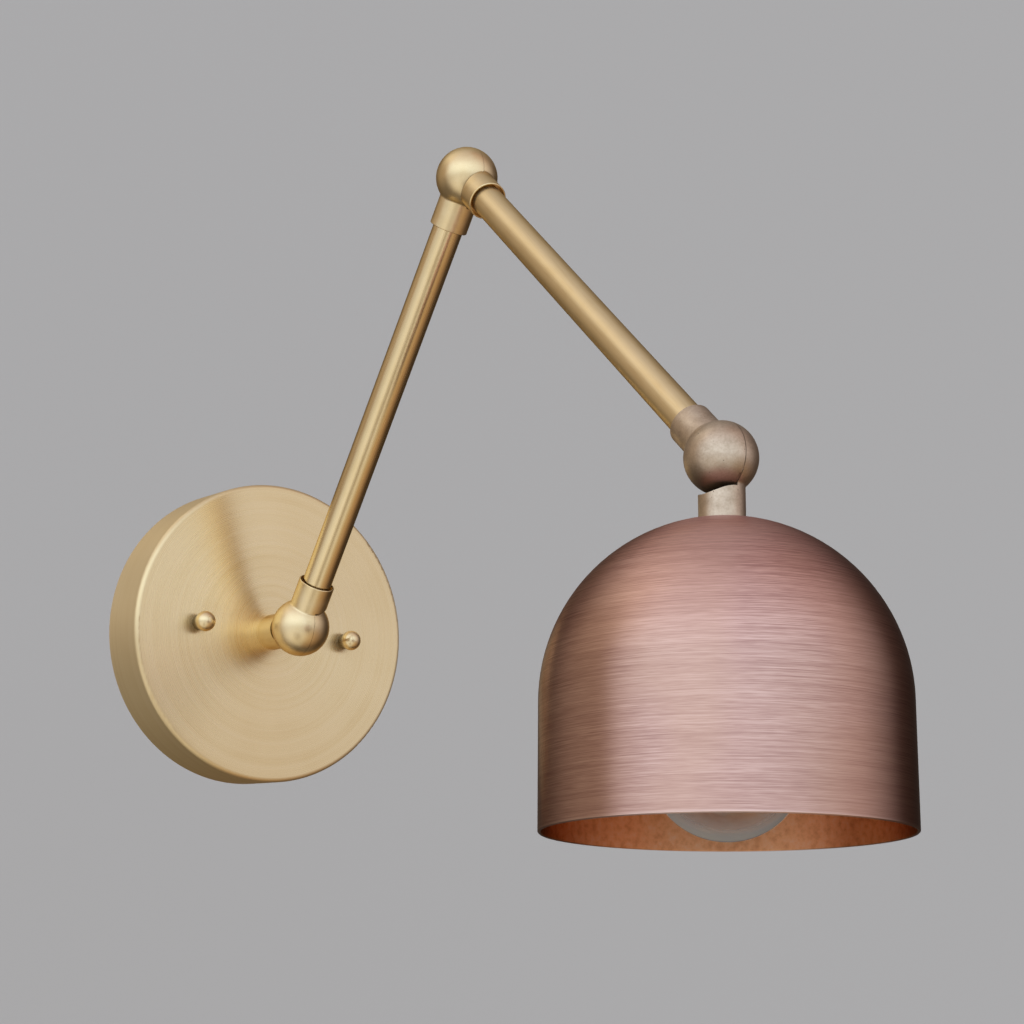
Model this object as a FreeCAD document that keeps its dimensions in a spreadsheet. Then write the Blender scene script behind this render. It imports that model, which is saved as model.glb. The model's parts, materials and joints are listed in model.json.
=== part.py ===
import FreeCAD, Part
import math
import os
import Sketcher

# Driving dimensions, in millimetres and degrees
DRIVING = {
    # canopy on the wall and the crossbar behind it
    "canopy_diameter": 127.0,
    "canopy_depth": 26.0,
    "canopy_wall": 1.2,
    "canopy_edge_radius": 1.8,
    "crossbar_width": 19.0,
    "crossbar_thickness": 2.5,
    "crossbar_end": 3.65,
    "slot_spacing": 88.9,
    "slot_width": 4.8,
    "slot_travel": 5.0,
    # studs and ball nuts that hold the canopy
    "stud_spacing": 69.85,
    "stud_diameter": 4.2,
    "stud_hole_gap": 0.3,
    "stud_end_gap": 0.5,
    "stud_nut_flats": 8.7,
    "stud_nut_height": 3.2,
    "ball_nut_diameter": 8.5,
    "ball_nut_rise": 5.8,
    "ball_nut_collar_diameter": 6.4,
    "ball_nut_crown": 2.4,
    # earth screw, leads and connectors behind the canopy
    "ground_screw_offset": 20.0,
    "ground_screw_diameter": 4.0,
    "ground_head_flats": 6.4,
    "ground_head_height": 2.6,
    "ground_flange_diameter": 8.0,
    "ground_flange_thickness": 0.9,
    "ground_ring_thickness": 0.8,
    "wire_diameter": 2.2,
    "wire_gap": 0.2,
    "wire_bend_radius": 6.0,
    "lead_rise": 9.5,
    "lead_spread": 10.0,
    "lead_drop": 22.0,
    "ground_lead_shift": 5.0,
    "ground_lead_drop": 10.0,
    "connector_diameter": 12.5,
    "connector_tip_diameter": 8.5,
    "connector_length": 19.0,
    "connector_skirt": 6.3,
    "connector_grip": 8.0,
    # threaded nipples with their nuts and washers
    "nipple_diameter": 10.0,
    "nipple_wall": 1.5,
    "nipple_tail": 2.0,
    "nipple_hole_gap": 0.2,
    "thread_gap": 0.05,
    "washer_diameter": 16.0,
    "washer_thickness": 1.0,
    "lock_nut_flats": 14.0,
    "lock_nut_height": 4.0,
    # ball swivels
    "ball_standoff": 50.0,
    "ball_diameter": 24.0,
    "neck_reach": 21.0,
    "neck_cove": 1.2,
    "mouth_depth": 3.5,
    "mouth_gap": 1.0,
    "mouth_rim": 0.5,
    "mouth_chamfer": 0.2,
    "swing_gap": 0.6,
    "seam_gap": 0.12,
    "knuckle_swing_gap": 0.9,
    "knuckle_seam_gap": 0.25,
    "thread_stop": 0.6,
    "chamber_wall": 2.8,
    "ring_recess": 0.5,
    "ring_groove": 0.2,
    "running_gap": 0.05,
    "screw_diameter": 4.0,
    "screw_head_diameter": 7.0,
    "screw_head_height": 2.6,
    "screw_head_recess": 1.8,
    "screw_key_flats": 3.0,
    "screw_key_depth": 1.6,
    "screw_grip": 3.0,
    "screw_tip_gap": 0.5,
    "counterbore_gap": 0.4,
    "spring_washer_height": 0.7,
    "spring_washer_thickness": 0.4,
    "head_floor": 1.4,
    "boss_wall": 1.6,
    # arms
    "lower_arm_length": 200.0,
    "upper_arm_length": 210.0,
    "lower_arm_angle": 56.64,
    "upper_arm_angle": -40.6,
    "tube_thread_wall": 0.95,
    "tube_shoulder": 0.7,
    "tube_grip": 8.0,
    "tube_edge_chamfer": 0.25,
    # shade
    "shade_angle": -85.9,
    "shade_diameter": 115.0,
    "shade_wall": 1.0,
    "shade_flat_radius": 8.3,
    "shade_length": 97.0,
    "shade_rim_chamfer": 0.3,
    # lamp socket
    "cap_hub_diameter": 14.0,
    "cap_hub_height": 5.5,
    "cap_wall": 0.8,
    "cap_headroom": 4.0,
    "cap_skirt": 9.0,
    "set_screw_diameter": 3.0,
    "set_screw_length": 3.4,
    "socket_body_diameter": 33.0,
    "socket_body_length": 33.0,
    "socket_floor": 5.5,
    "socket_gap": 0.2,
    "shell_diameter": 27.6,
    "shell_wall": 0.5,
    "shell_length": 21.0,
    "shell_lip": 4.5,
    "contact_diameter": 8.0,
    "contact_plate": 0.8,
    "contact_button_diameter": 5.0,
    "contact_button": 1.4,
    "contact_rivet_diameter": 3.0,
    "contact_rivet_length": 4.0,
    "terminal_spread": 18.0,
    "terminal_head_diameter": 5.4,
    "terminal_head_height": 2.4,
    "terminal_shank_diameter": 3.0,
    "terminal_shank_length": 4.0,
    "head_wire_diameter": 1.6,
    # globe bulb
    "bulb_base_gap": 0.3,
    "bulb_base_wall": 0.4,
    "bulb_base_length": 17.5,
    "bulb_thread_depth": 0.7,
    "bulb_insulator_height": 2.6,
    "bulb_tip_diameter": 9.0,
    "bulb_tip_flat": 4.5,
    "bulb_tip_height": 0.9,
    "bulb_globe_diameter": 49.5,
    "bulb_length": 75.5,
    "bulb_neck_gap": 0.2,
    "bulb_neck_sunk": 6.0,
    "bulb_neck_sweep": 20.0,
    "bulb_glass_wall": 0.8,
    "stem_diameter": 8.0,
    "stem_length": 24.0,
    "stem_flare": 4.0,
    "stem_tip_diameter": 4.0,
    "support_diameter": 0.7,
    "filament_diameter": 0.5,
    "support_spread": 7.0,
    "support_length": 14.0,
}
BULB_THREADS = 4
HALF_TURN = 180
POINT_TOLERANCE = 1e-6
VOLUME_TOLERANCE = 0.01

doc = FreeCAD.newDocument("WallLamp")
sheet = doc.addObject("Spreadsheet::Sheet", "Sizes")
for row, (name, number) in enumerate(DRIVING.items(), start=1):
    sheet.set(f"A{row}", name)
    sheet.set(f"B{row}", str(number))
    sheet.setAlias(f"B{row}", name)
doc.recompute()


class Size:
    """A number worked out from the sheet, kept together with its formula."""

    def __init__(self, number, formula):
        self.number = number
        self.formula = formula

    def with_other(self, other, sign, number):
        return Size(number, f"({self.formula} {sign} {as_size(other).formula})")

    def __add__(self, other):
        return self.with_other(other, "+", self.number + as_size(other).number)

    def __sub__(self, other):
        return self.with_other(other, "-", self.number - as_size(other).number)

    def __mul__(self, other):
        return self.with_other(other, "*", self.number * as_size(other).number)

    def __truediv__(self, other):
        return self.with_other(other, "/", self.number / as_size(other).number)

    def __rsub__(self, other):
        return as_size(other) - self

    def __neg__(self):
        return self * -1

    __radd__ = __add__
    __rmul__ = __mul__


def as_size(thing):
    return thing if isinstance(thing, Size) else Size(float(thing), f"({float(thing)})")


def root(size):
    return Size(math.sqrt(size.number), f"sqrt({size.formula})")


class Sheet:
    """The sheet's cells, each read as a Size."""

    def __getattr__(self, alias):
        return Size(float(sheet.get(alias)), f"Sizes.{alias}")


s = Sheet()

# Sizes that follow from the driving ones
canopy_radius = s.canopy_diameter / 2
slot_length = s.slot_travel + s.slot_width
crossbar_length = s.slot_spacing + slot_length + 2 * s.crossbar_end
tube_diameter = s.nipple_diameter + 2 * s.thread_gap + 2 * s.tube_thread_wall
tube_bore = s.nipple_diameter - 2 * s.tube_shoulder
thread_diameter = s.nipple_diameter + 2 * s.thread_gap
nipple_bore = s.nipple_diameter - 2 * s.nipple_wall
nipple_hole = s.nipple_diameter + 2 * s.nipple_hole_gap
wire_offset = nipple_bore / 2 - s.wire_gap - s.wire_diameter / 2
ball_radius = s.ball_diameter / 2
mouth_diameter = tube_diameter + 2 * s.mouth_gap
neck_radius = mouth_diameter / 2 + s.mouth_rim
thread_floor = ball_radius + s.knuckle_swing_gap + s.thread_stop
wire_end = thread_floor + s.wire_gap
ring_diameter = s.ball_diameter - 2 * s.ring_recess
tube_seat = s.neck_reach - s.mouth_depth
canopy_neck_reach = s.ball_standoff - s.canopy_depth
chamber_radius = ball_radius - s.chamber_wall
boss_diameter = s.screw_diameter + 2 * s.boss_wall
head_seat = ball_radius - s.screw_head_recess - s.screw_head_height - s.spring_washer_height
chamber_depth = head_seat - s.head_floor
screw_hole_depth = chamber_depth + s.screw_grip
screw_tip_depth = screw_hole_depth - s.screw_tip_gap
shade_radius = s.shade_diameter / 2
dome_centre = s.neck_reach + root(shade_radius * shade_radius - s.shade_flat_radius * s.shade_flat_radius)
shade_inside = s.neck_reach + s.shade_wall
shade_rim = s.neck_reach + s.shade_length
shade_nut_end = shade_inside + s.washer_thickness + s.lock_nut_height
cap_ceiling = shade_nut_end + s.cap_hub_height + s.cap_wall
socket_top = cap_ceiling + s.cap_headroom
socket_floor_end = socket_top + s.socket_floor
bulb_tip = socket_floor_end + s.contact_plate + s.contact_button
bulb_base_start = bulb_tip + s.bulb_tip_height + s.bulb_insulator_height
bulb_base_end = bulb_base_start + s.bulb_base_length
bulb_base_diameter = s.shell_diameter - 2 * s.shell_wall - 2 * s.bulb_base_gap
globe_radius = s.bulb_globe_diameter / 2
globe_centre = bulb_tip + s.bulb_length - globe_radius
glass_neck_radius = bulb_base_diameter / 2 - s.bulb_base_wall - s.bulb_thread_depth - s.bulb_neck_gap


def tie(thing, path, size):
    thing.setExpression(path, as_size(size).formula)


def at(thing, x, y, z):
    for axis, size in zip("xyz", (x, y, z)):
        tie(thing, f"Placement.Base.{axis}", size)
    return thing


# Basic solids, each along local z unless its name says otherwise

def cylinder(diameter, bottom, top, x=0, y=0):
    bar = doc.addObject("Part::Cylinder", "Bar")
    tie(bar, "Radius", diameter / 2)
    tie(bar, "Height", as_size(top) - bottom)
    return at(bar, x, y, bottom)


def cross_cylinder(diameter, side, inner, outer):
    """Round bar along x, from inner to outer on one side of the middle plane."""
    bar = doc.addObject("Part::Cylinder", "CrossBar")
    bar.Placement = FreeCAD.Placement(FreeCAD.Vector(), FreeCAD.Rotation(FreeCAD.Vector(0, 1, 0), 90))
    tie(bar, "Radius", diameter / 2)
    tie(bar, "Height", as_size(outer) - inner)
    return at(bar, as_size(inner) if side > 0 else -as_size(outer), 0, 0)


def hexagon(flats, bottom, top, x=0):
    prism = doc.addObject("Part::Prism", "Hexagon")
    prism.Polygon = 6
    tie(prism, "Circumradius", flats / math.sqrt(3))
    tie(prism, "Height", as_size(top) - bottom)
    return at(prism, x, 0, bottom)


def block(x, y, z):
    """Box between a low and a high bound along each axis."""
    box = doc.addObject("Part::Box", "Block")
    for path, (low, high) in zip(("Length", "Width", "Height"), (x, y, z)):
        tie(box, path, as_size(high) - low)
    return at(box, x[0], y[0], z[0])


def ball(diameter, z=0):
    sphere = doc.addObject("Part::Sphere", "Ball")
    tie(sphere, "Radius", diameter / 2)
    return at(sphere, 0, 0, z)


def joined(*solids):
    union = doc.addObject("Part::MultiFuse", "Joined")
    union.Shapes = list(solids)
    return union


def cut(base, *tools):
    rest = doc.addObject("Part::Cut", "Cut")
    rest.Base = base
    rest.Tool = tools[0] if len(tools) == 1 else joined(*tools)
    return rest


def grouped(*solids):
    group = doc.addObject("Part::Compound", "Group")
    group.Links = list(solids)
    return group


def arc_between(start, end, centre_x):
    """Arc of under half a circle between two sketch points, its centre at a given x."""
    spread = (end.x - centre_x) ** 2 - (start.x - centre_x) ** 2 + end.y ** 2 - start.y ** 2
    centre = FreeCAD.Vector(centre_x, spread / (2 * (end.y - start.y)), 0)
    outward = (start + end) * 0.5 - centre
    outward.normalize()
    return Part.Arc(start, centre + outward * start.distanceToPoint(centre), end)


def hold_point(sketch, edge, point, x, y):
    """Hold a sketch point at sizes measured from the sketch's origin."""
    for kind, size, axis in (("DistanceX", x, -2), ("DistanceY", y, -1)):
        if size is None:
            continue
        if not isinstance(size, Size):
            sketch.addConstraint(Sketcher.Constraint("PointOnObject", edge, point, axis))
            continue
        index = sketch.addConstraint(Sketcher.Constraint(kind, -1, 1, edge, point, size.number))
        tie(sketch, f"Constraints[{index}]", size)


def turned(outline):
    """Body turned about z. A corner is (radius, height), and the centre radius of an arc that ends there."""
    body = doc.addObject("PartDesign::Body", "Turned")
    sketch = body.newObject("Sketcher::SketchObject", "Outline")
    planes = {feature.Role: feature for feature in body.Origin.OriginFeatures}
    sketch.AttachmentSupport = (planes["XZ_Plane"], [""])
    sketch.MapMode = "FlatFace"
    points = [FreeCAD.Vector(as_size(c[0]).number, as_size(c[1]).number, 0) for c in outline]
    ends = []
    for index, corner in enumerate(outline):
        start, end = points[index - 1], points[index]
        if len(corner) == 3:
            edge = sketch.addGeometry(arc_between(start, end, as_size(corner[2]).number), False)
            hold_point(sketch, edge, 3, corner[2], None)
        else:
            edge = sketch.addGeometry(Part.LineSegment(start, end), False)
        forward = sketch.getPoint(edge, 1).isEqual(start, POINT_TOLERANCE)
        ends.append((edge, 1, 2) if forward else (edge, 2, 1))
    for index, (edge, tail, head) in enumerate(ends):
        last_edge, last_head = ends[index - 1][0], ends[index - 1][2]
        sketch.addConstraint(Sketcher.Constraint("Coincident", last_edge, last_head, edge, tail))
        hold_point(sketch, edge, head, outline[index][0], outline[index][1])
    turn = body.newObject("PartDesign::Revolution", "Turn")
    turn.Profile = sketch
    turn.ReferenceAxis = (sketch, ["V_Axis"])
    turn.Angle = 360
    return body


def ring(outer, inner, bottom, top):
    """Turned ring with square edges."""
    return turned([(inner / 2, bottom), (outer / 2, bottom), (outer / 2, top), (inner / 2, top)])


def bent_wire(points, diameter, bend_radius):
    """Wire along straight runs joined by tangent arcs."""
    edges = []
    start = points[0]
    for before, corner, after in zip(points, points[1:], points[2:]):
        coming = (corner - before).normalize()
        going = (after - corner).normalize()
        half_turn = coming.getAngle(going) / 2
        setback = bend_radius * math.tan(half_turn)
        inward = (going - coming).normalize()
        middle = corner + inward * (bend_radius / math.cos(half_turn) - bend_radius)
        entry, leave = corner - coming * setback, corner + going * setback
        edges += [Part.LineSegment(start, entry).toShape(), Part.Arc(entry, middle, leave).toShape()]
        start = leave
    edges.append(Part.LineSegment(start, points[-1]).toShape())
    path = Part.Wire(edges)
    section = Part.Wire([Part.Circle(points[0], points[1] - points[0], diameter / 2).toShape()])
    wire = path.makePipeShell([section], True, False)
    expected = math.pi * diameter ** 2 / 4 * path.Length
    if abs(wire.Volume - expected) > VOLUME_TOLERANCE * expected:
        raise ValueError("a wire's volume differs from its section times its length")
    return wire


def formed(shape):
    feature = doc.addObject("Part::Feature", "Formed")
    feature.Shape = shape
    return feature


pieces = []


def piece(label, solid, placement):
    """Name a finished sub-part and set it in its place."""
    solid.Label = label
    solid.Placement = placement
    pieces.append(solid)


# Places in the lamp: every pivot runs along x, and the arms lie in the plane x = 0

def direction(angle):
    """Unit vector at an angle above level, pointing away from the wall."""
    slope = math.radians(angle)
    return FreeCAD.Vector(0, -math.cos(slope), math.sin(slope))


def place(centre, angle):
    """Local z along a direction in the arms' plane, local x along the pivots."""
    return FreeCAD.Placement(centre, FreeCAD.Rotation(FreeCAD.Vector(1, 0, 0), 90 - angle))


def across(centre, offset):
    """Local z along the pivot axis, starting at an offset from the ball's centre."""
    turn = FreeCAD.Rotation(FreeCAD.Vector(0, 1, 0), 90)
    return FreeCAD.Placement(centre + FreeCAD.Vector(offset.number, 0, 0), turn)


lower_angle = s.lower_arm_angle.number
upper_angle = s.upper_arm_angle.number
shade_angle = s.shade_angle.number
shoulder = FreeCAD.Vector(0, -s.ball_standoff.number, 0)
elbow = shoulder + direction(lower_angle) * s.lower_arm_length.number
knuckle = elbow + direction(upper_angle) * s.upper_arm_length.number
on_wall = place(FreeCAD.Vector(), 0)
on_lower_arm = place(shoulder, lower_angle)
on_upper_arm = place(elbow, upper_angle)
on_shade = place(knuckle, shade_angle)


# Canopy, crossbar and their fasteners, with z out from the wall

def make_canopy():
    front = s.canopy_depth
    inside = s.canopy_depth - s.canopy_wall
    bend = canopy_radius - s.canopy_edge_radius
    inner_radius = canopy_radius - s.canopy_wall
    pan = turned([
        (inner_radius, 0),
        (canopy_radius, 0),
        (canopy_radius, front - s.canopy_edge_radius),
        (bend, front, bend),
        (nipple_hole / 2, front),
        (nipple_hole / 2, inside),
        (bend, inside),
        (inner_radius, front - s.canopy_edge_radius, bend),
    ])
    hole = s.stud_diameter + 2 * s.stud_hole_gap
    holes = [cylinder(hole, inside - s.canopy_wall, front + s.canopy_wall, x=side * s.stud_spacing / 2)
             for side in (-1, 1)]
    piece("canopy", cut(pan, *holes), on_wall)


def make_crossbar():
    thickness = s.crossbar_thickness
    end = (crossbar_length - s.crossbar_width) / 2
    half_width = s.crossbar_width / 2
    strap = joined(
        block((-end, end), (-half_width, half_width), (0, thickness)),
        cylinder(s.crossbar_width, 0, thickness, x=-end),
        cylinder(s.crossbar_width, 0, thickness, x=end),
    )
    tools = [cylinder(s.ground_screw_diameter + 2 * s.thread_gap, 0, thickness, x=-s.ground_screw_offset)]
    for side in (-1, 1):
        stud_hole = s.stud_diameter + 2 * s.thread_gap
        tools.append(cylinder(stud_hole, 0, thickness, x=side * s.stud_spacing / 2))
        middle = side * s.slot_spacing / 2
        low, high = middle - s.slot_travel / 2, middle + s.slot_travel / 2
        tools.append(block((low, high), (-s.slot_width / 2, s.slot_width / 2), (0, thickness)))
        tools += [cylinder(s.slot_width, 0, thickness, x=centre) for centre in (low, high)]
    piece("mounting_crossbar", cut(strap, *tools), on_wall)


def make_canopy_fasteners():
    face = s.canopy_depth
    ball_centre = face + s.ball_nut_rise
    hole_end = ball_centre + s.ball_nut_diameter / 2 - s.ball_nut_crown
    nut_end = s.crossbar_thickness + s.stud_nut_height
    stud_hole = s.stud_diameter + 2 * s.thread_gap
    studs, nuts, ball_nuts = [], [], []
    for side in (-1, 1):
        x = side * s.stud_spacing / 2
        studs.append(cylinder(s.stud_diameter, s.stud_end_gap, hole_end - s.stud_end_gap, x=x))
        nut_hole = cylinder(stud_hole, s.crossbar_thickness, nut_end, x=x)
        nuts.append(cut(hexagon(s.stud_nut_flats, s.crossbar_thickness, nut_end, x=x), nut_hole))
        knob = joined(ball(s.ball_nut_diameter, ball_centre),
                      cylinder(s.ball_nut_collar_diameter, face, ball_centre))
        bored = cut(knob, cylinder(stud_hole, face, hole_end))
        at(bored, x, 0, 0)
        ball_nuts.append(bored)
    piece("canopy_studs", grouped(*studs), on_wall)
    piece("stud_lock_nuts", grouped(*nuts), on_wall)
    piece("ball_nuts", grouped(*ball_nuts), on_wall)


def make_canopy_nipple():
    inside = s.canopy_depth - s.canopy_wall
    nut_end = inside - s.washer_thickness
    nut_start = nut_end - s.lock_nut_height
    tail, tip = nut_start - s.nipple_tail, s.ball_standoff - thread_floor
    piece("canopy_nipple", ring(s.nipple_diameter, nipple_bore, tail, tip), on_wall)
    piece("canopy_lock_washer", ring(s.washer_diameter, nipple_hole, nut_end, inside), on_wall)
    nut_hole = cylinder(thread_diameter, nut_start, nut_end)
    piece("canopy_lock_nut", cut(hexagon(s.lock_nut_flats, nut_start, nut_end), nut_hole), on_wall)


def connector(wire_end_point, heading):
    """Twist-on connector cap over the end of a lead, in wall coordinates."""
    mouth = s.wire_diameter / 2 + s.wire_gap
    cap = turned([
        (0, s.connector_grip),
        (mouth, s.connector_grip),
        (mouth, 0),
        (s.connector_diameter / 2, 0),
        (s.connector_diameter / 2, s.connector_skirt),
        (s.connector_tip_diameter / 2, s.connector_length),
        (0, s.connector_length),
    ])
    heading = FreeCAD.Vector(heading).normalize()
    start = wire_end_point - heading * (s.connector_grip - s.wire_gap).number
    cap.Placement = FreeCAD.Placement(start, FreeCAD.Rotation(FreeCAD.Vector(0, 0, 1), heading))
    return cap


def make_leads():
    wire = s.wire_diameter.number
    bend = s.wire_bend_radius.number
    rise = s.lead_rise.number
    drop = s.lead_drop.number
    spread = s.lead_spread.number
    connectors = []
    for label, side in (("lead_black", -1), ("lead_white", 1)):
        offset = side * wire_offset.number
        start = FreeCAD.Vector(offset, 0, (s.ball_standoff - wire_end).number)
        corner = FreeCAD.Vector(offset, 0, rise)
        end = FreeCAD.Vector(side * spread, -drop, rise)
        piece(label, formed(bent_wire([start, corner, end], wire, bend)), on_wall)
        connectors.append(connector(end, end - corner))
    bar_face = s.crossbar_thickness
    ring_top = bar_face + s.ground_ring_thickness
    screw_x = -s.ground_screw_offset.number
    height = (bar_face + s.wire_gap + s.wire_diameter / 2).number
    edge = (s.ground_flange_diameter / 2).number
    half_bar = (s.crossbar_width / 2).number
    shift, fall = s.ground_lead_shift.number, s.ground_lead_drop.number
    route = [
        FreeCAD.Vector(screw_x, -edge, height),
        FreeCAD.Vector(screw_x, -edge - half_bar, height),
        FreeCAD.Vector(screw_x - shift, -edge - half_bar - fall, rise),
    ]
    ground_wire = bent_wire(route, wire, bend)
    base = FreeCAD.Vector(screw_x, 0, bar_face.number)
    eye = Part.makeCylinder(edge + wire / 2, s.ground_ring_thickness.number, base)
    hole = (s.ground_screw_diameter / 2 + s.wire_gap).number
    eye = eye.cut(Part.makeCylinder(hole, s.ground_ring_thickness.number, base))
    flange_top = (ring_top + s.ground_flange_thickness).number
    room = Part.makeCylinder(edge + s.wire_gap.number, flange_top + wire,
                             FreeCAD.Vector(screw_x, 0, ring_top.number))
    piece("ground_lead", formed(eye.fuse(ground_wire.cut(room))), on_wall)
    connectors.append(connector(route[-1], route[-1] - route[-2]))
    piece("wire_connectors", grouped(*connectors), on_wall)
    head_start = ring_top + s.ground_flange_thickness
    x = -s.ground_screw_offset
    piece("ground_screw", joined(
        cylinder(s.ground_screw_diameter, s.stud_end_gap, head_start, x=x),
        cylinder(s.ground_flange_diameter, ring_top, head_start, x=x),
        hexagon(s.ground_head_flats, head_start, head_start + s.ground_head_height, x=x),
    ), on_wall)


# Ball swivels: a ball split at the plane x = 0 into two halves, each with a round neck along its local z

def ball_with_neck(reach, chamfer):
    """Whole ball and its neck, with a small cove where the neck leaves the ball."""
    cove_centre = neck_radius + s.neck_cove
    between = ball_radius + s.neck_cove
    cove_top = root(between * between - cove_centre * cove_centre)
    ball_share = ball_radius / between
    mouth = [(neck_radius, reach)]
    if chamfer:
        mouth = [(neck_radius, reach - chamfer), (neck_radius - chamfer, reach)]
    return turned([
        (0, -ball_radius),
        (cove_centre * ball_share, cove_top * ball_share, 0),
        (neck_radius, cove_top, cove_centre),
        *mouth,
        (0, reach),
    ])


def make_half(label, side, play, reach, placement, cups_tube):
    """Half of a swivel. The screw is threaded into the half on the -x side and turns in the other one."""
    swing_gap, seam_gap = play
    far = s.ball_diameter
    seam = seam_gap / 2
    whole = ball_with_neck(reach, s.mouth_chamfer if cups_tube else None)
    tools = [
        cross_cylinder(s.ball_diameter + 2 * swing_gap, -side, -seam, far),
        cross_cylinder(ring_diameter + 2 * s.running_gap, side, 0, seam + s.ring_groove),
        cut(cross_cylinder(2 * chamber_radius, side, 0, chamber_depth),
            cross_cylinder(boss_diameter, side, 0, chamber_depth)),
        cylinder(nipple_bore, chamber_radius - s.chamber_wall, reach),
        cylinder(thread_diameter, thread_floor, reach),
    ]
    if cups_tube:
        tools.append(cylinder(mouth_diameter, reach - s.mouth_depth, reach))
    if side > 0:
        tools.append(cross_cylinder(s.screw_diameter + 2 * s.running_gap, side, 0, far))
        tools.append(cross_cylinder(s.screw_head_diameter + 2 * s.counterbore_gap, side, head_seat, far))
    else:
        tools.append(cross_cylinder(s.screw_diameter + 2 * s.thread_gap, side, 0, screw_hole_depth))
    piece(label, cut(whole, *tools), placement)


def make_pivot(name, centre, seam_gap):
    """Screw, spring washer and friction ring on the pivot axis of a swivel."""
    shank = screw_tip_depth + head_seat + s.spring_washer_height
    top = shank + s.screw_head_height
    screw = turned([
        (0, 0),
        (s.screw_diameter / 2, 0),
        (s.screw_diameter / 2, shank),
        (s.screw_head_diameter / 2, shank),
        (s.screw_head_diameter / 2, top),
        (0, top),
    ])
    key = hexagon(s.screw_key_flats, top - s.screw_key_depth, top)
    piece(f"{name}_pivot_screw", cut(screw, key), across(centre, -screw_tip_depth))
    hole = s.screw_diameter / 2 + s.counterbore_gap
    cup = s.spring_washer_height - s.spring_washer_thickness
    piece(f"{name}_spring_washer", turned([
        (hole, cup),
        (s.screw_head_diameter / 2, 0),
        (s.screw_head_diameter / 2, s.spring_washer_thickness),
        (hole, s.spring_washer_height),
    ]), across(centre, head_seat))
    ring_bore = 2 * chamber_radius + s.ring_recess
    ring_height = seam_gap + 2 * s.ring_groove
    friction_ring = ring(ring_diameter, ring_bore, as_size(0), ring_height)
    piece(f"{name}_friction_ring", friction_ring, across(centre, -ring_height / 2))


# Arms, with z from the lower ball to the upper one

def make_arm(name, length, placement):
    grip_end = tube_seat + s.tube_grip
    thread_end = grip_end + s.thread_gap
    chamfer = s.tube_edge_chamfer
    outer, bore, thread = tube_diameter / 2, tube_bore / 2, thread_diameter / 2
    piece(f"{name}_tube", turned([
        (thread, tube_seat),
        (outer - chamfer, tube_seat),
        (outer, tube_seat + chamfer),
        (outer, length - tube_seat - chamfer),
        (outer - chamfer, length - tube_seat),
        (thread, length - tube_seat),
        (thread, length - thread_end),
        (bore, length - thread_end),
        (bore, thread_end),
        (thread, thread_end),
    ]), placement)
    piece(f"{name}_nipples", grouped(
        ring(s.nipple_diameter, nipple_bore, thread_floor, grip_end),
        ring(s.nipple_diameter, nipple_bore, length - grip_end, length - thread_floor),
    ), placement)
    piece(f"{name}_wires", grouped(
        *[cylinder(s.wire_diameter, wire_end, length - wire_end, x=side * wire_offset) for side in (-1, 1)]
    ), placement)


# Shade and lamp socket, with z from the knuckle's centre down the shade's axis

def make_shade():
    outer, inner = shade_radius, shade_radius - s.shade_wall
    drop = dome_centre - shade_inside
    chamfer = s.shade_rim_chamfer
    piece("shade", turned([
        (nipple_hole / 2, s.neck_reach),
        (s.shade_flat_radius, s.neck_reach),
        (outer, dome_centre, 0),
        (outer, shade_rim - chamfer),
        (outer - chamfer, shade_rim),
        (inner + chamfer, shade_rim),
        (inner, shade_rim - chamfer),
        (inner, dome_centre),
        (root(inner * inner - drop * drop), shade_inside, 0),
        (nipple_hole / 2, shade_inside),
    ]), on_shade)
    piece("shade_nipple", ring(s.nipple_diameter, nipple_bore, thread_floor, cap_ceiling), on_shade)
    nut_start = shade_inside + s.washer_thickness
    piece("shade_washer", ring(s.washer_diameter, nipple_hole, shade_inside, nut_start), on_shade)
    nut_hole = cylinder(thread_diameter, nut_start, shade_nut_end)
    piece("shade_lock_nut", cut(hexagon(s.lock_nut_flats, nut_start, shade_nut_end), nut_hole), on_shade)


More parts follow.
